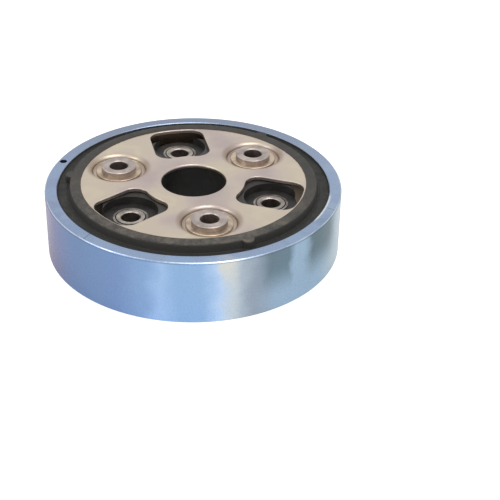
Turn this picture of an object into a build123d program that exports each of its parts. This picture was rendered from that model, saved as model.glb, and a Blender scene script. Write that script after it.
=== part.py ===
from build123d import *
import os
from math import atan, cos, pi, sin

# Flexible disc coupling for a propeller shaft, with a torsional damper ring bonded round it.
# Millimetres. The axis of rotation is Z and the base of the inertia ring stands on Z = 0.
# +X points through the first of the three bushes that carry the damper.

# ---- Bushes: six alike, on one bolt circle, three head up and three head down ----
bush_count = 6
bolt_circle_radius = 52.5
bolt_bore_radius = 6.05
bush_wall = 3.05
head_wall = 5.35
head_height = 7.1
shoulder_width = 3.1
shoulder_thickness = 2.0
tail_proud = 0.2
bore_chamfer = 0.6
head_chamfer = 0.4

# ---- Guide collars and spacer rings that part the thread packs on a bush ----
press_clearance = 0.05
guide_wall = 2.0
guide_proud = 0.7
guide_mouth_gap = 0.65
guide_mouth_depth = 2.5
flange_overhang = 0.5
flange_thickness = 1.5
spacer_thickness = 2.0

# ---- Thread packs wound round neighbouring bushes ----
thread_wall = 4.4
thread_layer = 9.0
thread_edge_radius = 1.0

# ---- Rubber disc moulded round bushes and packs ----
bond_film = 0.1
side_cover = 1.0
end_cover = 1.3
pocket_overcut = 0.4
disc_hole_margin = 0.8
disc_edge_chamfer = 1.0
seat_air = 0.4
plate_air = 0.6

# ---- Carrier plate: a pressed steel cup ----
plate_thickness = 2.4
plate_rise = 2.6
cup_bend_radius = 4.8
cup_rim_height = 4.0
centre_hole_radius = 21.0
rolled_edge_radius = 1.4
window_width = 37.0
window_inner_reach = 19.0
window_rim = 1.0
window_corner_radius = 9.0
window_edge_radius = 0.7
dish_depth = 3.2
dish_run = 4.0
dish_foot_bend = 0.8
dish_margin = 0.1

# ---- Clamp collars that hold the plate on the raised bushes ----
clamp_wall = 3.55
clamp_thickness = 1.3
clamp_chamfer = 0.3
clamp_seat_margin = 1.6

# ---- Damper rubber between the cup and the inertia ring ----
damper_wall = 10.5
damper_base_height = 6.0
damper_base_sag = 1.5
ledge_depth = 2.7
lip_width = 6.9
lip_rise = 0.35
lip_draft = 1.0
lip_round = 0.8
lug_count = 3
lug_radius = 3.9
lug_angle = 13.5

# ---- Inertia ring ----
ring_height = 43.0
ring_wall = 8.0
ring_outer_chamfer = 0.7
ring_bore_chamfer = 0.4
balance_hole_radius = 2.4
balance_hole_depth = 12.0
balance_hole_angle = 120.0

# ---- Radii that follow, from the bolt bore outwards ----
tail_radius = bolt_bore_radius + bush_wall
head_radius = bolt_bore_radius + head_wall
shoulder_radius = head_radius + shoulder_width
guide_bore_radius = tail_radius + press_clearance
guide_radius = guide_bore_radius + guide_wall
thread_inner_radius = guide_radius + bond_film
thread_outer_radius = thread_inner_radius + thread_wall
flange_radius = thread_outer_radius + flange_overhang
lobe_radius = flange_radius + side_cover
pocket_radius = lobe_radius + pocket_overcut
clamp_bore_radius = head_radius + press_clearance
clamp_radius = clamp_bore_radius + clamp_wall
dish_seat_radius = clamp_radius + clamp_seat_margin
dish_radius = dish_seat_radius + dish_run
plate_flat_radius = bolt_circle_radius + dish_radius + dish_margin
cup_radius = plate_flat_radius + cup_bend_radius
cup_inner_radius = cup_radius - plate_thickness
damper_inner_radius = cup_radius + bond_film
ring_bore_radius = cup_radius + damper_wall
damper_radius = ring_bore_radius - bond_film
ring_radius = ring_bore_radius + ring_wall
disc_hole_radius = centre_hole_radius + disc_hole_margin
balance_circle_radius = (ring_bore_radius + ring_radius) / 2

# ---- Heights that follow, from the plate down to the middle of the disc ----
plate_top = ring_height + plate_rise
plate_under = plate_top - plate_thickness
dish_floor = plate_top - dish_depth
shoulder_top = dish_floor - plate_thickness
ledge_top = ring_height - ledge_depth

# Heights above the middle plane of the disc, the same on both sides of it.
spool_half = spacer_thickness / 2 + thread_layer
flange_face = spool_half + flange_thickness
pocket_floor = flange_face + end_cover
guide_length = pocket_floor + guide_proud
shoulder_face = guide_length + shoulder_thickness
head_end = shoulder_face + head_height
tail_end = guide_length + tail_proud

disc_middle = shoulder_top - shoulder_face
disc_half = plate_under - plate_air - disc_middle
seat_recess_floor = shoulder_face - seat_air
bush_spacing = 2 * bolt_circle_radius * sin(pi / bush_count)
pack_line_radius = bolt_circle_radius * cos(pi / bush_count)


def section(*outline):
    """Closed face in the XZ plane from (radius, height) corners."""
    return Plane.XZ * make_face(Polyline(*outline, close=True))


def turned(*outline):
    """Solid turned about Z from a closed outline of (radius, height) corners."""
    return revolve(section(*outline), axis=Axis.Z)


def rounded(face, corner, radius):
    """Rounds the corner of a face in the XZ plane that lies at (radius, height)."""
    return fillet(face.vertices().sort_by_distance((corner[0], 0, corner[1]))[0], radius)


def tube(inner, outer, bottom, top):
    """Plain tube about Z."""
    return turned((inner, bottom), (outer, bottom), (outer, top), (inner, top))


def cylinder(radius, bottom, top):
    """Solid cylinder about Z."""
    return turned((0, bottom), (radius, bottom), (radius, top), (0, top))


def at_bush(index, solid):
    """Puts a solid drawn about the disc's middle plane on bush number index, head down on odd ones."""
    flip = Rot(180 * (index % 2), 0, 0)
    turn = Rot(0, 0, index * 360 / bush_count)
    return turn * Pos(bolt_circle_radius, 0, disc_middle) * flip * solid


def at_window(index, solid):
    """Turns a solid drawn on +X to the middle of window number index, above a head-down bush."""
    return Rot(0, 0, (2 * index + 1) * 360 / bush_count) * solid


def make_bush():
    """Stepped steel bush: thin tail through the disc, shoulder against the guide collar, thick head."""
    return turned(
        (bolt_bore_radius, bore_chamfer - tail_end),
        (bolt_bore_radius + bore_chamfer, -tail_end),
        (tail_radius, -tail_end),
        (tail_radius, guide_length),
        (shoulder_radius, guide_length),
        (shoulder_radius, shoulder_face),
        (head_radius, shoulder_face),
        (head_radius, head_end - head_chamfer),
        (head_radius - head_chamfer, head_end),
        (bolt_bore_radius + bore_chamfer, head_end),
        (bolt_bore_radius, head_end - bore_chamfer),
    )


def make_guide_collar():
    """Flanged collar on the upper half of a bush, counterbored at its mouth."""
    mouth = guide_bore_radius + guide_mouth_gap
    return turned(
        (guide_bore_radius, 0),
        (guide_radius, 0),
        (guide_radius, spool_half),
        (flange_radius, spool_half),
        (flange_radius, flange_face),
        (guide_radius, flange_face),
        (guide_radius, guide_length),
        (mouth, guide_length),
        (mouth, guide_length - guide_mouth_depth),
        (guide_bore_radius, guide_length - guide_mouth_depth),
    )


def make_spacer_ring():
    """Ring round the joint of two guide collars, between the upper and the lower thread pack."""
    inner = guide_radius + press_clearance
    return tube(inner, flange_radius, -spacer_thickness / 2, spacer_thickness / 2)


def pack_belt(margin):
    """Flat outline of a thread pack, an endless belt round two guide collars, grown by a margin."""
    outer = SlotCenterToCenter(bush_spacing, 2 * (thread_outer_radius + margin))
    inner = SlotCenterToCenter(bush_spacing, 2 * (thread_inner_radius - margin))
    return outer - inner


def at_pack(index, solid):
    """Puts a pack drawn along X between bush number index and the next, in alternate layers."""
    bottom = spacer_thickness / 2 - (index % 2) * (spacer_thickness + thread_layer)
    angle = (index + 0.5) * 360 / bush_count
    return Rot(0, 0, angle) * Pos(pack_line_radius, 0, disc_middle + bottom) * Rot(0, 0, 90) * solid


def make_thread_pack():
    """Wound thread pack with rounded outer edges."""
    pack = extrude(pack_belt(0), thread_layer)
    rims = [edge for end in pack.faces().filter_by(Axis.Z) for edge in end.outer_wire().edges()]
    return fillet(rims, thread_edge_radius)


def make_disc_rubber():
    """Six-lobed rubber disc, the same from above and below when turned over through one bush pitch."""
    centres = PolarLocations(bolt_circle_radius, bush_count)
    lobes = Sketch() + [centre * Circle(lobe_radius) for centre in centres]
    disc = Pos(0, 0, disc_middle - disc_half) * extrude(make_hull(lobes.edges()), 2 * disc_half)
    disc = chamfer(disc.faces().filter_by(Axis.Z).edges(), disc_edge_chamfer)
    disc -= cylinder(disc_hole_radius, 0, plate_top)

    bond_guide = guide_radius + bond_film
    bond_flange = flange_radius + bond_film
    bond_shoulder = shoulder_radius + bond_film
    seat_recess_radius = dish_radius + side_cover
    hollow = turned(
        (0, -disc_half - 1), (pocket_radius, -disc_half - 1),
        (pocket_radius, -pocket_floor), (bond_guide, -pocket_floor),
        (bond_guide, -flange_face), (bond_flange, -flange_face),
        (bond_flange, -spool_half), (bond_guide, -spool_half),
        (bond_guide, -spacer_thickness / 2), (bond_flange, -spacer_thickness / 2),
        (bond_flange, spacer_thickness / 2), (bond_guide, spacer_thickness / 2),
        (bond_guide, spool_half), (bond_flange, spool_half),
        (bond_flange, flange_face), (bond_guide, flange_face),
        (bond_guide, guide_length), (bond_shoulder, guide_length),
        (bond_shoulder, seat_recess_floor), (seat_recess_radius, seat_recess_floor),
        (seat_recess_radius, disc_half + 1), (0, disc_half + 1),
    )
    pack_hollow = extrude(pack_belt(bond_film), thread_layer)
    for index in range(bush_count):
        disc -= at_bush(index, hollow)
        disc -= at_pack(index, pack_hollow)
    return disc


def dish_wall():
    """Pressed seat round a raised bush: a flat washer that bends up to the level of the plate."""
    slope = 2 * atan(dish_depth / dish_run)
    reach = dish_run / sin(slope)
    lip_bend = reach - dish_foot_bend
    hole = head_radius + press_clearance
    knee_x = dish_seat_radius + dish_foot_bend * sin(slope)
    knee_z = dish_floor + dish_foot_bend * (1 - cos(slope))
    under_x = knee_x + plate_thickness * sin(slope)
    under_z = knee_z - plate_thickness * cos(slope)
    foot = (dish_seat_radius, dish_floor)
    foot_under = (dish_seat_radius, shoulder_top)
    top = [
        Line((hole, dish_floor), foot),
        RadiusArc(foot, (knee_x, knee_z), -dish_foot_bend),
        RadiusArc((knee_x, knee_z), (dish_radius, plate_top), lip_bend),
        Line((dish_radius, plate_top), (dish_radius, plate_under)),
        RadiusArc((dish_radius, plate_under), (under_x, under_z), -(lip_bend - plate_thickness)),
        RadiusArc((under_x, under_z), foot_under, dish_foot_bend + plate_thickness),
        Line(foot_under, (hole, shoulder_top)),
        Line((hole, shoulder_top), (hole, dish_floor)),
    ]
    return revolve(Plane.XZ * make_face(top), axis=Axis.Z)


def window_outline():
    """Window over a low bush: parallel sides, ends concentric with the coupling, rounded corners."""
    band = Circle(plate_flat_radius - window_rim) - Circle(bolt_circle_radius - window_inner_reach)
    strip = Pos(bolt_circle_radius, 0) * Rectangle(2 * bolt_circle_radius, window_width)
    window = (band & strip).faces().sort_by(Axis.X)[-1]
    return fillet(window.vertices(), window_corner_radius)


def top_rims(plate):
    """Rims of the openings in the upper face of the plate, the centre hole first."""
    top = plate.faces().filter_by(Axis.Z).sort_by(Axis.Z)[-1]
    return top.inner_wires().sort_by_distance((0, 0, plate_top))


def make_carrier_plate():
    """Pressed cup with a rolled centre hole, three windows and three dished seats."""
    cup = section((0, plate_top), (cup_radius, plate_top), (cup_radius, cup_rim_height),
                  (cup_inner_radius, cup_rim_height), (cup_inner_radius, plate_under), (0, plate_under))
    cup = rounded(cup, (cup_radius, plate_top), cup_bend_radius)
    cup = rounded(cup, (cup_inner_radius, plate_under), cup_bend_radius - plate_thickness)
    plate = revolve(cup, axis=Axis.Z)

    plate -= cylinder(centre_hole_radius, plate_under - 1, plate_top + 1)
    plate = fillet(top_rims(plate)[0].edges(), rolled_edge_radius)
    cutter = Pos(0, 0, plate_under - 1) * extrude(window_outline(), plate_thickness + 2)
    for index in range(bush_count // 2):
        plate -= at_window(index, cutter)
    window_edges = [edge for rim in top_rims(plate)[1:] for edge in rim.edges()]
    plate = fillet(window_edges, window_edge_radius)
    for index in range(bush_count // 2):
        place = Rot(0, 0, index * 720 / bush_count) * Pos(bolt_circle_radius, 0, 0)
        plate -= place * cylinder(dish_radius, plate_under - 1, plate_top + 1)
        plate += place * dish_wall()
    return plate


def make_clamp_collar():
    """Plain ring pressed on a raised bush over the seat of the plate."""
    top = dish_floor + clamp_thickness
    return turned(
        (clamp_bore_radius, dish_floor), (clamp_radius, dish_floor),
        (clamp_radius, top - clamp_chamfer), (clamp_radius - clamp_chamfer, top),
        (clamp_bore_radius, top),
    )


def make_damper_rubber():
    """Rubber ring bonded between cup and inertia ring, with a lip over the bend of the cup."""
    lip_inner = plate_flat_radius
    lip_outer = lip_inner + lip_width
    lip_top = plate_top + lip_rise
    foot = lip_outer + lip_draft
    bend = cup_bend_radius + bond_film
    bend_side = (damper_inner_radius, plate_top - cup_bend_radius)
    base_inner = (damper_inner_radius, damper_base_height)
    base_middle = ((damper_inner_radius + damper_radius) / 2, damper_base_height + damper_base_sag)
    base_outer = (damper_radius, damper_base_height)
    outline = [
        RadiusArc((lip_inner, plate_top + bond_film), bend_side, bend),
        Line(bend_side, base_inner),
        ThreePointArc(base_inner, base_middle, base_outer),
        Line(base_outer, (damper_radius, ledge_top)),
        Line((damper_radius, ledge_top), (foot, ledge_top)),
        Line((foot, ledge_top), (lip_outer, plate_top)),
        Line((lip_outer, plate_top), (lip_outer - lip_round, lip_top)),
        Line((lip_outer - lip_round, lip_top), (lip_inner, lip_top)),
        Line((lip_inner, lip_top), (lip_inner, plate_top + bond_film)),
    ]
    ring = revolve(Plane.XZ * make_face(outline), axis=Axis.Z)
    lug = Pos(lip_outer, 0, 0) * cylinder(lug_radius, ledge_top - 1, plate_top)
    lug -= cylinder(damper_inner_radius, 0, plate_top)
    for index in range(lug_count):
        ring += Rot(0, 0, lug_angle + index * 360 / lug_count) * lug
    return ring


def make_inertia_ring():
    """Heavy steel ring with broken edges and one blind balancing hole in its upper face."""
    ring = turned(
        (ring_bore_radius, ring_bore_chamfer), (ring_bore_radius + ring_bore_chamfer, 0),
        (ring_radius - ring_outer_chamfer, 0), (ring_radius, ring_outer_chamfer),
        (ring_radius, ring_height - ring_outer_chamfer), (ring_radius - ring_outer_chamfer, ring_height),
        (ring_bore_radius + ring_bore_chamfer, ring_height),
        (ring_bore_radius, ring_height - ring_bore_chamfer),
    )
    drill = cylinder(balance_hole_radius, ring_height - balance_hole_depth, ring_height + 1)
    return ring - Rot(0, 0, balance_hole_angle) * Pos(balance_circle_radius, 0, 0) * drill


def make_parts():
    """Every piece of the coupling by name."""
    parts = {
        "inertia_ring": make_inertia_ring(),
        "damper_rubber": make_damper_rubber(),
        "carrier_plate": make_carrier_plate(),
        "disc_rubber": make_disc_rubber(),
    }
    bush = make_bush()
    guide = make_guide_collar()
    spacer = make_spacer_ring()
    pack = make_thread_pack()
    clamp = make_clamp_collar()
    for index in range(bush_count):
        number = index // 2 + 1
        side = ["raised", "low"][index % 2]
        layer = ["upper", "lower"][index % 2]
        parts[f"{side}_bush_{number}"] = at_bush(index, bush)
        parts[f"{side}_head_guide_{number}"] = at_bush(index, guide)
        parts[f"{side}_tail_guide_{number}"] = at_bush(index, Rot(180, 0, 0) * guide)
        parts[f"{side}_spacer_ring_{number}"] = at_bush(index, spacer)
        parts[f"{layer}_thread_pack_{number}"] = at_pack(index, pack)
    for index in range(bush_count // 2):
        place = Rot(0, 0, index * 720 / bush_count) * Pos(bolt_circle_radius, 0, 0)
        parts[f"clamp_collar_{index + 1}"] = place * clamp
    return parts


os.makedirs("parts", exist_ok=True)
for name, solid in make_parts().items():
    solid.label = name
    export_step(solid, f"parts/{name}.step")
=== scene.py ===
from math import cos, exp, pi, radians, sin, sqrt

import bmesh
import bpy
from mathutils import Matrix, Vector, noise


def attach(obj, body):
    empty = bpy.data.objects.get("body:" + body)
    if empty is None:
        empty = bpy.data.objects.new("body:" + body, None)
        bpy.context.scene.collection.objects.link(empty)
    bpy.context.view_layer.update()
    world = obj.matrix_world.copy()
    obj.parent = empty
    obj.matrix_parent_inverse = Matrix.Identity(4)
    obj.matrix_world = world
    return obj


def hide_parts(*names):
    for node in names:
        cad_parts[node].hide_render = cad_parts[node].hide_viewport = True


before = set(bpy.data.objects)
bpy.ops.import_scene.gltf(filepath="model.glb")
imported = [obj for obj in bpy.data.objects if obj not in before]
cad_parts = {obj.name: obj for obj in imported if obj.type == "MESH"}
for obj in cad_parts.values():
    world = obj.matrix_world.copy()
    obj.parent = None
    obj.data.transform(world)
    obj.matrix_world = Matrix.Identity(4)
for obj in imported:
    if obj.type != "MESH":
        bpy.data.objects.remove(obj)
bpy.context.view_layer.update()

# ---------------------------------------------------------------- Viewpoint
# A long lens on a stand, looking down on the coupling from beyond its left-hand bushes. The coupling sits
# left of the middle of the view. The axis of rotation is Z and the first raised bush lies on +X.
view_distance = 0.8352
view_turn = radians(-133.5)
view_height = radians(32.2)
view_roll = radians(1.21)
view_target = Vector((0.01901, -0.03459, 0.0))
view_lens = 90.71

view_offset = view_distance * Vector(
    (cos(view_height) * cos(view_turn), cos(view_height) * sin(view_turn), sin(view_height))
)
camera = bpy.data.objects.new("long_lens", bpy.data.cameras.new("long_lens"))
bpy.context.scene.collection.objects.link(camera)
camera.data.sensor_width = 36
camera.data.lens = view_lens
camera.data.clip_end = 20
level = (-view_offset).to_track_quat("-Z", "Y").to_matrix().to_4x4()
stand = Matrix.Translation(view_target + view_offset)
camera.matrix_world = stand @ level @ Matrix.Rotation(view_roll, 4, "Z")
bpy.context.scene.camera = camera

# ---------------------------------------------------------------- Inertia ring
# Heavy turned steel ring that damps the shaft's twist. It is zinc plated and passivated blue, and the thin
# film shifts to lilac round the wall; the wall's colour also holds painted reflections, bright and dark.
# One blind balancing hole is drilled in its upper face.
ring_radius = 0.0965
ring_bore = 0.0885
ring_top = 0.043
# Wall colours by angle: the film's own tints, with painted reflections in them, bright and dark.
ring_film_and_reflections = [
    (0, (150, 168, 196)), (45, (140, 160, 196)), (95, (146, 160, 188)), (130, (134, 148, 180)),
    (150, (136, 118, 148)), (163, (112, 116, 156)), (176, (112, 134, 174)), (190, (118, 144, 182)),
    (200, (122, 148, 190)), (211, (136, 166, 206)), (217, (160, 190, 228)), (224, (143, 177, 215)),
    (233, (146, 179, 217)), (239, (180, 205, 236)), (244, (184, 198, 210)), (251, (150, 162, 176)),
    (262, (154, 178, 200)), (284, (150, 176, 198)), (298, (166, 184, 194)), (308, (188, 200, 206)),
    (325, (164, 180, 198)),
]
ring_top_tint = (144, 162, 190)
ring_highlight_streak = (214, 214, 205)
ring_dark_reflection = (88, 108, 116)
ring_worn = (206, 216, 228)
ring_far_shade = (128, 138, 156)
ring_witness = (96, 98, 96)
ring_edge_shade = (84, 98, 118)
ring_rubbed = (208, 216, 222)
ring_bore_highlight = (196, 208, 222)
witness_lines = ((184.6, 0.42), (298.1, -0.33))
witness_radius = 0.0925


def plain(red, green, blue):
    """A display colour as the shader's linear one."""
    parts = [c / 255 for c in (red, green, blue)]
    return [c / 12.92 if c <= 0.04045 else ((c + 0.055) / 1.055) ** 2.4 for c in parts] + [1]


def add(tree, kind, sockets=None, **settings):
    """One shader node, with its settings and with values or links for its sockets."""
    made = tree.nodes.new("ShaderNode" + kind)
    for name, value in settings.items():
        setattr(made, name, value)
    for name, value in (sockets or {}).items():
        if isinstance(value, bpy.types.NodeSocket):
            tree.links.new(value, made.inputs[name])
        else:
            made.inputs[name].default_value = value
    return made


def sum_of(tree, operation, first, second=0.0, third=0.0, clamp=False):
    """Result of one Math node."""
    sockets = {0: first, 1: second, 2: third}
    return add(tree, "Math", sockets, operation=operation, use_clamp=clamp).outputs[0]


def times(tree, first, second):
    """Two values multiplied."""
    return sum_of(tree, "MULTIPLY", first, second)


def spread(tree, value, low, high, start=0.0, end=1.0):
    """Value run smoothly from start to end as it goes from low to high."""
    settings = {"Value": value, "From Min": low, "From Max": high, "To Min": start, "To Max": end}
    return add(tree, "MapRange", settings, interpolation_type="SMOOTHSTEP").outputs[0]


def band(tree, value, rise, full, fade, gone):
    """Soft-edged band along a value: it rises to full, then fades until it is gone."""
    return times(tree, spread(tree, value, rise, full), spread(tree, value, gone, fade))


def tint(tree, amount, under, over, mode="MIX"):
    """Colour of one layer laid over another."""
    made = add(tree, "Mix", {0: amount, 6: under, 7: over}, data_type="RGBA", blend_type=mode)
    return made.outputs[2]


def tint_row(tree, value, stops):
    """Colours that follow one another along a value from 0 to 1."""
    row = add(tree, "ValToRGB", {0: value})
    marks = row.color_ramp.elements
    while len(marks) < len(stops):
        marks.new(1.0)
    for mark, (place, colour) in zip(marks, stops):
        mark.position = place
    for mark, (place, colour) in zip(marks, stops):
        mark.color = plain(*colour)
    return row.outputs[0]


def new_group(name, inputs, outputs):
    """Empty shader node group with named number and vector sockets."""
    group = bpy.data.node_groups.new(name, "ShaderNodeTree")
    for label, start in inputs.items():
        kind = "NodeSocketVector" if isinstance(start, tuple) else "NodeSocketFloat"
        group.interface.new_socket(name=label, in_out="INPUT", socket_type=kind).default_value = start
    for label in outputs:
        group.interface.new_socket(name=label, in_out="OUTPUT", socket_type="NodeSocketFloat")
    entry = group.nodes.new("NodeGroupInput").outputs
    return group, entry, group.nodes.new("NodeGroupOutput").inputs


def use(tree, group, **values):
    """A node group placed in a material, with its own values; underscores stand for spaces."""
    made = tree.nodes.new("ShaderNodeGroup")
    made.node_tree = group
    for name, value in values.items():
        socket = made.inputs[name.replace("_", " ")]
        if isinstance(value, bpy.types.NodeSocket):
            tree.links.new(value, socket)
        else:
            socket.default_value = value
    return made.outputs


def new_finish(name, **constants):
    """Material with one Principled shader whose constants sit on its own sockets."""
    material = bpy.data.materials.new(name)
    material.use_nodes = True
    shader = material.node_tree.nodes["Principled BSDF"]
    for label, value in constants.items():
        shader.inputs[label.replace("_", " ")].default_value = value
    return material.node_tree, shader, material


def feed(tree, shader, colour, roughness, height, depth):
    """Joins a finish's colour, roughness and relief to its shader."""
    relief = add(tree, "Bump", {"Strength": 1.0, "Distance": depth, "Height": height})
    tree.links.new(colour, shader.inputs["Base Color"])
    tree.links.new(roughness, shader.inputs["Roughness"])
    tree.links.new(relief.outputs[0], shader.inputs["Normal"])


def dress(material, *names):
    """Gives CAD pieces their finish."""
    for name in names:
        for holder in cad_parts[name].material_slots:
            holder.material = material


turned_place, entry, leave = new_group(
    "turned_place", {"Middle": (0.0, 0.0, 0.0)}, ["Turn", "Radius", "Height"])
here = add(turned_place, "VectorMath", {0: add(turned_place, "TexCoord").outputs["Object"],
                                        1: entry["Middle"]}, operation="SUBTRACT")
along = add(turned_place, "SeparateXYZ", {0: here.outputs[0]}).outputs
turn = sum_of(turned_place, "ARCTAN2", along[1], along[0])
turn = sum_of(turned_place, "FRACT", sum_of(turned_place, "DIVIDE", turn, 2 * pi))
flat = add(turned_place, "CombineXYZ", {0: along[0], 1: along[1]}).outputs[0]
reach = add(turned_place, "VectorMath", {0: flat}, operation="LENGTH").outputs["Value"]
for label, value in (("Turn", turn), ("Radius", reach), ("Height", along[2])):
    turned_place.links.new(value, leave[label])

cloudiness, entry, leave = new_group(
    "cloudiness", {"Size": 0.02, "Detail": 3.0, "Softness": 0.5}, ["Cloud", "Fleck"])
spot = add(cloudiness, "TexCoord").outputs["Object"]
often = sum_of(cloudiness, "DIVIDE", 1.0, entry["Size"])
cloud = add(cloudiness, "TexNoise", {"Vector": spot, "Scale": often, "Detail": entry["Detail"],
                                     "Roughness": entry["Softness"]}).outputs[0]
fleck = add(cloudiness, "TexNoise", {"Vector": spot, "Scale": times(cloudiness, often, 14.0),
                                     "Detail": 3.0}).outputs[0]
cloudiness.links.new(cloud, leave["Cloud"])
cloudiness.links.new(fleck, leave["Fleck"])

tree, shader, ring_zinc = new_finish("blue_zinc", Metallic=1.0)
place = use(tree, turned_place)
cloud = use(tree, cloudiness, Size=0.016, Detail=4.0)
waver = sum_of(tree, "MULTIPLY_ADD", cloud["Cloud"], 0.022, -0.011)
turn = sum_of(tree, "FRACT", sum_of(tree, "ADD", place["Turn"], waver))
wall = tint_row(tree, turn, [(angle / 360, colour) for angle, colour in ring_film_and_reflections])
# Painted reflection: two dark bands on the upper part of the wall.
dark_reflection = band(tree, turn, 0.694, 0.716, 0.738, 0.748)
second = band(tree, turn, 0.760, 0.776, 0.806, 0.832)
dark_reflection = sum_of(tree, "MAXIMUM", dark_reflection, times(tree, second, 1.2))
dark_reflection = times(tree, dark_reflection, spread(tree, place["Height"], 0.008, 0.032))
wall = tint(tree, times(tree, dark_reflection, 0.75), wall, plain(*ring_dark_reflection))
# Painted highlight: a pale streak down the wall, strongest near the top.
highlight_streak = band(tree, turn, 0.660, 0.671, 0.676, 0.688)
highlight_streak = times(tree, highlight_streak, spread(tree, place["Height"], 0.02, 0.043, 0.25, 0.9))
wall = tint(tree, highlight_streak, wall, plain(*ring_highlight_streak))
mottled = spread(tree, cloud["Fleck"], 0.3, 0.7, 0.97, 1.02)
face = tint(tree, spread(tree, cloud["Cloud"], 0.4, 0.62, 0.0, 0.3), plain(*ring_top_tint), wall)
# Painted shade: the top face turns darker on its side away from the camera.
far_shade = sum_of(tree, "COSINE", sum_of(tree, "MULTIPLY_ADD", place["Turn"], 2 * pi, radians(-50)))
face = tint(tree, spread(tree, far_shade, 0.1, 0.9, 0.0, 0.7), face, plain(*ring_far_shade))
on_top = spread(tree, place["Height"], ring_top - 0.0006, ring_top - 0.0001)
metal = tint(tree, on_top, wall, face)
seams = 0.0
for angle, lean in witness_lines:
    slant = sum_of(tree, "MULTIPLY_ADD", place["Radius"], lean, -witness_radius * lean + angle / 360)
    away = sum_of(tree, "ABSOLUTE", sum_of(tree, "SUBTRACT", place["Turn"], slant))
    seams = sum_of(tree, "MAXIMUM", seams, spread(tree, away, 0.0009, 0.0003))
metal = tint(tree, times(tree, times(tree, seams, on_top), 0.6), metal, plain(*ring_witness))
outside = spread(tree, place["Radius"], ring_radius - 0.0010, ring_radius - 0.0006)
rim = times(tree, outside, spread(tree, place["Height"], 0.0424, 0.0427))
worn_off = spread(tree, cloud["Cloud"], 0.38, 0.62, 0.15, 0.75)
metal = tint(tree, times(tree, rim, worn_off), metal, plain(*ring_worn))
under_rim = sum_of(tree, "ABSOLUTE", sum_of(tree, "SUBTRACT", place["Height"], 0.0421))
under_rim = times(tree, outside, spread(tree, under_rim, 0.0006, 0.0002, 0.0, 0.45))
metal = tint(tree, under_rim, metal, plain(*ring_edge_shade))
rubbed = band(tree, place["Turn"], 0.792, 0.804, 0.850, 0.862)
rubbed = times(tree, rubbed, spread(tree, place["Radius"], ring_bore + 0.0020, ring_bore + 0.0008))
metal = tint(tree, times(tree, rubbed, on_top), metal, plain(*ring_rubbed))
# Painted highlight: the ring's bore above the rubber's ledge is pale.
bore_highlight = spread(tree, place["Radius"], ring_bore + 0.0002, ring_bore - 0.0002)
bore_highlight = times(tree, bore_highlight, spread(tree, place["Height"], 0.0398, 0.0402))
metal = tint(tree, bore_highlight, metal, plain(*ring_bore_highlight))
grey = add(tree, "CombineXYZ", {0: mottled, 1: mottled, 2: mottled}).outputs[0]
metal = tint(tree, 1.0, metal, grey, "MULTIPLY")
rough = spread(tree, cloud["Fleck"], 0.3, 0.7, 0.26, 0.36)
feed(tree, shader, metal, rough, cloud["Fleck"], 0.00002)
dress(ring_zinc, "inertia_ring")

# ---------------------------------------------------------------- Damper rubber
# Rubber ring moulded and bonded between the cup and the inertia ring. A flat lip covers the bend of the cup,
# three pips mark the mould's vents, and a thin skin of rubber is left on most of the ring's bore.
lip_inner = 0.0732
lip_outer = 0.0801
lip_top = 0.04595
ledge = 0.0403
pip_radius = 0.0039
pip_turns = [radians(a) for a in (13.5, 133.5, 253.5)]
rubber_black = (50, 49, 47)
rubber_dust = (118, 110, 100)
rubber_stain = (74, 58, 42)
rubber_recess_shade = (42, 42, 41)
skin_bare = [(36.0, 39.5), (56.5, 82.5)]
moulding_lumps = [
    (156.0, 84.6, 2.2, 1.1, 0.55), (161.5, 86.6, 1.6, 0.8, 0.8), (196.0, 85.5, 1.8, 1.0, 0.5),
    (281.5, 86.2, 1.5, 0.9, 0.7), (285.5, 84.8, 1.2, 1.0, 0.5), (311.5, 87.0, 1.3, 0.9, 1.3),
    (309.0, 85.4, 0.9, 0.8, 0.6), (75.0, 86.0, 1.6, 1.1, 0.45), (232.0, 84.2, 2.6, 0.9, 0.4),
]


def ease(value):
    """Smooth step from 0 to 1."""
    value = min(max(value, 0.0), 1.0)
    return value * value * (3 - 2 * value)


def skin_top(angle):
    """Height of the rubber skin on the ring's bore at an angle in degrees."""
    bare = 0.0
    for start, end in skin_bare:
        bare = max(bare, ease((angle - start) / 0.8) * ease((end - angle) / 0.8))
    ragged = 0.0003 * noise.noise(Vector((angle * 0.6, 3.1, 0)))
    return 0.0425 - 0.0018 * bare + ragged


def pip_reach(turn):
    """How far the lip's outer edge is pushed out by a vent pip at this turn."""
    for middle in pip_turns:
        across = lip_outer * sin(turn - middle)
        if cos(turn - middle) > 0 and abs(across) < pip_radius:
            return lip_outer * (cos(turn - middle) - 1) + sqrt(pip_radius ** 2 - across ** 2)
    return 0.0


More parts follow.
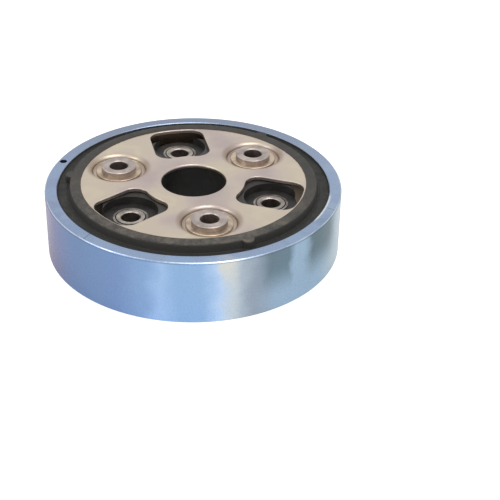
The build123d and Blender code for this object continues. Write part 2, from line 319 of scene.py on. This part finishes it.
def rubber_section(turn):
    """Radius and height of each corner of the rubber's section at one turn."""
    angle = turn * 180 / pi
    edge = 0.00012 * noise.noise(Vector((angle * 0.25, 0, 0)))
    edge += 0.00006 * noise.noise(Vector((angle, 9, 0)))
    wave = 0.00008 * noise.noise(Vector((angle * 0.12, 5, 0)))
    top = lip_top - 0.0001 + wave
    out = max(pip_reach(turn), 0.0)
    brim = lip_outer + 0.5 * edge
    corners = [(lip_inner + edge, 0.04562), (lip_inner + edge, 0.04582), (lip_inner + edge + 0.0002, top)]
    corners += [(0.0742, top), (0.0753, top + 0.00003), (0.0765, top), (0.0778, top - 0.00004)]
    corners += [(brim - 0.0010, top - 0.00008), (brim - 0.0005, top - 0.00022), (brim - 0.0002, 0.0456)]
    corners += [(brim - 0.0001 + 0.5 * out, 0.04558), (brim + out - 0.0002, 0.04552), (brim + out, 0.0453)]
    draft = 0.0010 if out < 0.0002 else 0.0003
    for share in (0.25, 0.5, 0.75):
        corners.append((brim + out + share * draft, 0.0453 - share * 0.0044))
    foot = brim + out + draft
    corners += [(foot, 0.0406), (foot + 0.0002, ledge - 0.0002), (foot + 0.0006, ledge - 0.00025)]
    corners += [(foot + 0.0011, ledge)]
    reach = 0.0871 - foot - 0.0011
    corners += [(foot + 0.0011 + share * reach, ledge) for share in (0.17, 0.34, 0.5, 0.67, 0.84)]
    rise = skin_top(angle)
    corners += [(0.0874, ledge + 0.0001), (0.0880, ledge + 0.00035), (0.08822, ledge + 0.0008)]
    corners += [(0.0883, rise - 0.0001), (0.0884, rise), (0.0884, 0.0400), (0.0884, 0.0060)]
    corners += [(0.0867, 0.0070), (0.0850, 0.0074), (0.0832, 0.0075), (0.0815, 0.0074), (0.0798, 0.0070)]
    corners += [(0.0781, 0.0060), (0.0781, 0.0408), (0.07773, 0.04268), (0.07666, 0.04426), (0.07508, 0.04533)]
    return corners


def rubber_height(turn, radius, height):
    """Mould texture and lumps on the faces that show from above."""
    if height < 0.0395 or radius > 0.0881:
        return height
    angle = turn * 180 / pi % 360
    rise = 0.00005 * noise.noise(Vector((cos(turn), sin(turn), 0)) * radius * 900)
    if height < 0.0412:
        for at, middle, wide, long, tall in moulding_lumps:
            off = ((angle - at) / wide) ** 2 + ((radius * 1000 - middle) / long) ** 2
            rise += tall / 1000 * exp(-1.5 * off)
    return height + rise


turns = [radians(0.5 * step) for step in range(720)]
for middle in pip_turns:
    for away in (2.795, 2.785, 2.74, 2.66, 2.35, 2.2, 1.75, 0.25):
        turns += [middle + radians(away), middle - radians(away)]
turns = sorted(set(round(turn, 6) for turn in turns))


def lathe(name, turns, section_at, shift):
    """Closed ring of sections, each a loop of corners turned about the axis."""
    mesh = bmesh.new()
    loops = []
    for turn in turns:
        loop = []
        for radius, height in section_at(turn):
            height = shift(turn, radius, height)
            loop.append(mesh.verts.new((radius * cos(turn), radius * sin(turn), height)))
        loops.append(loop)
    for this, following in zip(loops, loops[1:] + loops[:1]):
        for k in range(len(this)):
            j = (k + 1) % len(this)
            mesh.faces.new((this[k], following[k], following[j], this[j])).smooth = True
    bmesh.ops.recalc_face_normals(mesh, faces=mesh.faces)
    data = bpy.data.meshes.new(name)
    mesh.to_mesh(data)
    mesh.free()
    piece = bpy.data.objects.new(name, data)
    bpy.context.scene.collection.objects.link(piece)
    return piece


tree, shader, rubber_finish = new_finish("damper_rubber_dusty", Specular_IOR_Level=0.35)
place = use(tree, turned_place)
cloud = use(tree, cloudiness, Size=0.007, Detail=5.0, Softness=0.6)
dust = spread(tree, cloud["Cloud"], 0.34, 0.72)
speck = spread(tree, cloud["Fleck"], 0.54, 0.66)
up_high = spread(tree, place["Height"], 0.0446, 0.0457)
near_side = sum_of(tree, "COSINE", sum_of(tree, "MULTIPLY_ADD", place["Turn"], 2 * pi, radians(-222)))
near_side = spread(tree, near_side, -0.4, 0.95, 0.15, 1.1)
dust = times(tree, sum_of(tree, "MAXIMUM", dust, speck), times(tree, up_high, near_side))
colour = tint(tree, times(tree, dust, 0.7), plain(*rubber_black), plain(*rubber_dust))
at_plate = times(tree, spread(tree, place["Radius"], 0.0741, 0.0734), up_high)
colour = tint(tree, times(tree, at_plate, 0.6), colour, plain(*rubber_stain))
# Painted shade: the rubber is darker low down, on the ledge and at the foot of the lip.
recess_shade = spread(tree, place["Height"], 0.0414, 0.0405)
colour = tint(tree, times(tree, recess_shade, 0.6), colour, plain(*rubber_recess_shade))
feed(tree, shader, colour, spread(tree, cloud["Cloud"], 0.3, 0.7, 0.5, 0.75), cloud["Fleck"], 0.00025)

damper = lathe("moulded_damper_rubber", turns, rubber_section, rubber_height)
damper.data.materials.append(rubber_finish)
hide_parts("damper_rubber")
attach(damper, "root")

# ---------------------------------------------------------------- Carrier plate
# Cup pressed from steel sheet, with a rolled centre hole, three windows and three dished seats. Its film is
# champagne, clouded with lilac and cream.
plate_film = [(0.0, (180, 166, 162)), (0.25, (188, 175, 168)), (0.45, (196, 183, 170)),
              (0.65, (196, 184, 168)), (0.82, (202, 190, 170)), (1.0, (196, 183, 168))]
plate_shade = (140, 120, 98)
plate_hollow_shade = (150, 126, 102)
plate_top = 0.0456
bolt_circle = 0.0525

tree, shader, plate_zinc = new_finish("champagne_zinc", Metallic=1.0)
place = use(tree, turned_place)
cloud = use(tree, cloudiness, Size=0.036, Detail=2.0, Softness=0.4)
small = use(tree, cloudiness, Size=0.006, Detail=4.0, Softness=0.6)
film = sum_of(tree, "MULTIPLY_ADD", cloud["Cloud"], 2.6, -0.92)
film = sum_of(tree, "MULTIPLY_ADD", small["Cloud"], 0.24, film, clamp=True)
colour = tint_row(tree, film, plate_film)
for angle in (0, 120, 240):
    seat = (bolt_circle * cos(radians(angle)), bolt_circle * sin(radians(angle)), 0.0)
    around = use(tree, turned_place, Middle=seat)
    ring = band(tree, around["Radius"], 0.0150, 0.0180, 0.0190, 0.0222)
    side = sum_of(tree, "COSINE", sum_of(tree, "MULTIPLY_ADD", around["Turn"], 4 * pi, radians(87)))
    ring = times(tree, ring, spread(tree, side, -0.3, 0.9, 0.1, 0.6))
    colour = tint(tree, ring, colour, plain(*plate_shade))
# Painted shade: the plate turns darker and browner below its top face, inside the cup and in the seats.
hollow_shade = spread(tree, place["Height"], plate_top - 0.0023, plate_top - 0.0045, 0.0, 0.8)
colour = tint(tree, hollow_shade, colour, plain(*plate_hollow_shade))
feed(tree, shader, colour, spread(tree, small["Fleck"], 0.3, 0.7, 0.30, 0.42), small["Fleck"], 0.00008)
dress(plate_zinc, "carrier_plate")

# ---------------------------------------------------------------- Rubber disc and its thread packs
# Black rubber moulded round the six bushes and the wound polyester packs that join neighbouring bushes.
# The packs take the pull and are buried in the rubber, so only the rubber shows in the windows.
disc_black = (33, 32, 31)
disc_worn = (44, 42, 40)
thread_cream = (206, 196, 172)
thread_shadow = (150, 138, 112)

tree, shader, disc_finish = new_finish("disc_rubber_black", Specular_IOR_Level=0.5)
cloud = use(tree, cloudiness, Size=0.009, Detail=4.0, Softness=0.6)
colour = tint(tree, spread(tree, cloud["Cloud"], 0.45, 0.7), plain(*disc_black), plain(*disc_worn))
feed(tree, shader, colour, spread(tree, cloud["Cloud"], 0.3, 0.7, 0.32, 0.55), cloud["Fleck"], 0.0003)
dress(disc_finish, "disc_rubber")

tree, shader, thread_finish = new_finish("wound_polyester_thread", Roughness=0.8)
strand = add(tree, "TexWave", {"Vector": add(tree, "TexCoord").outputs["Object"], "Scale": 900.0,
                               "Distortion": 2.0}, bands_direction="Z").outputs["Fac"]
colour = tint(tree, strand, plain(*thread_shadow), plain(*thread_cream))
feed(tree, shader, colour, spread(tree, strand, 0.0, 1.0, 0.9, 0.65), strand, 0.0003)
dress(thread_finish, *[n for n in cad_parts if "thread_pack" in n])

# ---------------------------------------------------------------- Bushes, guide collars and spacer rings
# Six turned steel bushes, three head up and three head down, each pressed through a pair of flanged guide
# collars. The zinc is thin and rubbed where the flange arms are bolted on.
raised_film = [(0.0, (150, 140, 136)), (0.5, (172, 161, 156)), (1.0, (188, 176, 168))]
low_film = [(0.0, (138, 130, 124)), (0.5, (164, 156, 150)), (1.0, (190, 182, 174))]
guide_film = [(0.0, (104, 99, 94)), (0.5, (140, 134, 128)), (1.0, (176, 170, 162))]


def steel_film(name, film, shine, size):
    """Thin zinc on turned steel."""
    tree, shader, material = new_finish(name, Metallic=1.0)
    cloud = use(tree, cloudiness, Size=size, Detail=4.0, Softness=0.55)
    colour = tint_row(tree, spread(tree, cloud["Cloud"], 0.3, 0.7), film)
    rough = spread(tree, cloud["Fleck"], 0.3, 0.7, shine, shine + 0.12)
    feed(tree, shader, colour, rough, cloud["Fleck"], 0.0001)
    return material


raised_steel = steel_film("raised_bush_zinc", raised_film, 0.34, 0.008)
low_steel = steel_film("low_bush_zinc", low_film, 0.28, 0.008)
guide_steel = steel_film("guide_steel", guide_film, 0.28, 0.006)
dress(raised_steel, *[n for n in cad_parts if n.startswith("raised_bush")])
dress(low_steel, *[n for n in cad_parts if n.startswith("low_bush")])
dress(guide_steel, *[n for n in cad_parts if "guide" in n or "spacer" in n])

# ---------------------------------------------------------------- Clamp collars
# Plain steel rings pressed on the raised bushes over the plate's seats, so that they hold the plate down.
clamp_film = [(0.0, (164, 148, 132)), (0.5, (188, 171, 152)), (1.0, (206, 190, 168))]
clamp_steel = steel_film("clamp_zinc", clamp_film, 0.32, 0.007)
dress(clamp_steel, *[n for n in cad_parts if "clamp_collar" in n])

# ---------------------------------------------------------------- Floor
# A plain white table top, which fades into a white room and keeps a soft shadow.
table_half = 6
table_height = -0.0002
table = bpy.data.meshes.new("table_top")
corners = ((-1, -1), (1, -1), (1, 1), (-1, 1))
corners = [(x * table_half, y * table_half, table_height) for x, y in corners]
table.from_pydata(corners, [], [(0, 1, 2, 3)])
table_top = bpy.data.objects.new("table_top", table)
bpy.context.scene.collection.objects.link(table_top)
table_white = bpy.data.materials.new("table_white")
table_white.use_nodes = True
tree = table_white.node_tree
tree.nodes.clear()
ray = add(tree, "LightPath").outputs
mirrored = sum_of(tree, "MAXIMUM", ray["Is Glossy Ray"], ray["Is Transmission Ray"])
seen = sum_of(tree, "MAXIMUM", times(tree, ray["Is Camera Ray"], 0.72), times(tree, mirrored, 0.3))
matt = add(tree, "BsdfDiffuse", {"Color": (0.78, 0.78, 0.78, 1)}).outputs[0]
glow = add(tree, "Emission", {"Color": (1, 1, 1, 1), "Strength": seen}).outputs[0]
both = add(tree, "AddShader", {0: matt, 1: glow}).outputs[0]
add(tree, "OutputMaterial", {"Surface": both})
table.materials.append(table_white)

# ---------------------------------------------------------------- Light
# An even white room, with one large soft box above and behind the coupling and a smaller one to its left.
room = bpy.data.worlds.new("white_room")
bpy.context.scene.world = room
room.use_nodes = True
tree = room.node_tree
tree.nodes.clear()
ray = add(tree, "LightPath").outputs
mirrored = sum_of(tree, "MAXIMUM", ray["Is Glossy Ray"], ray["Is Transmission Ray"])
seen = sum_of(tree, "MAXIMUM", ray["Is Camera Ray"], mirrored)
soft = add(tree, "Background", {"Color": (1, 1, 1, 1), "Strength": 0.62}).outputs[0]
white = add(tree, "Background", {"Color": (1, 1, 1, 1), "Strength": 1.0}).outputs[0]
add(tree, "OutputWorld", {"Surface": add(tree, "MixShader", {0: seen, 1: soft, 2: white}).outputs[0]})


def soft_box(name, turn, height, distance, size, watts):
    """Square area lamp that faces the coupling."""
    lamp = bpy.data.lights.new(name, "AREA")
    lamp.size = size
    lamp.energy = watts
    box = bpy.data.objects.new(name, lamp)
    bpy.context.scene.collection.objects.link(box)
    toward = Vector((cos(turn) * cos(height), sin(turn) * cos(height), sin(height)))
    box.location = toward * distance
    box.rotation_euler = toward.to_track_quat("Z", "Y").to_euler()


soft_box("soft_box_above", radians(-100), radians(68), 1.4, 0.9, 7.0)
soft_box("soft_box_left", radians(-200), radians(35), 1.5, 0.6, 3.0)

bpy.context.scene.view_settings.view_transform = "Standard"
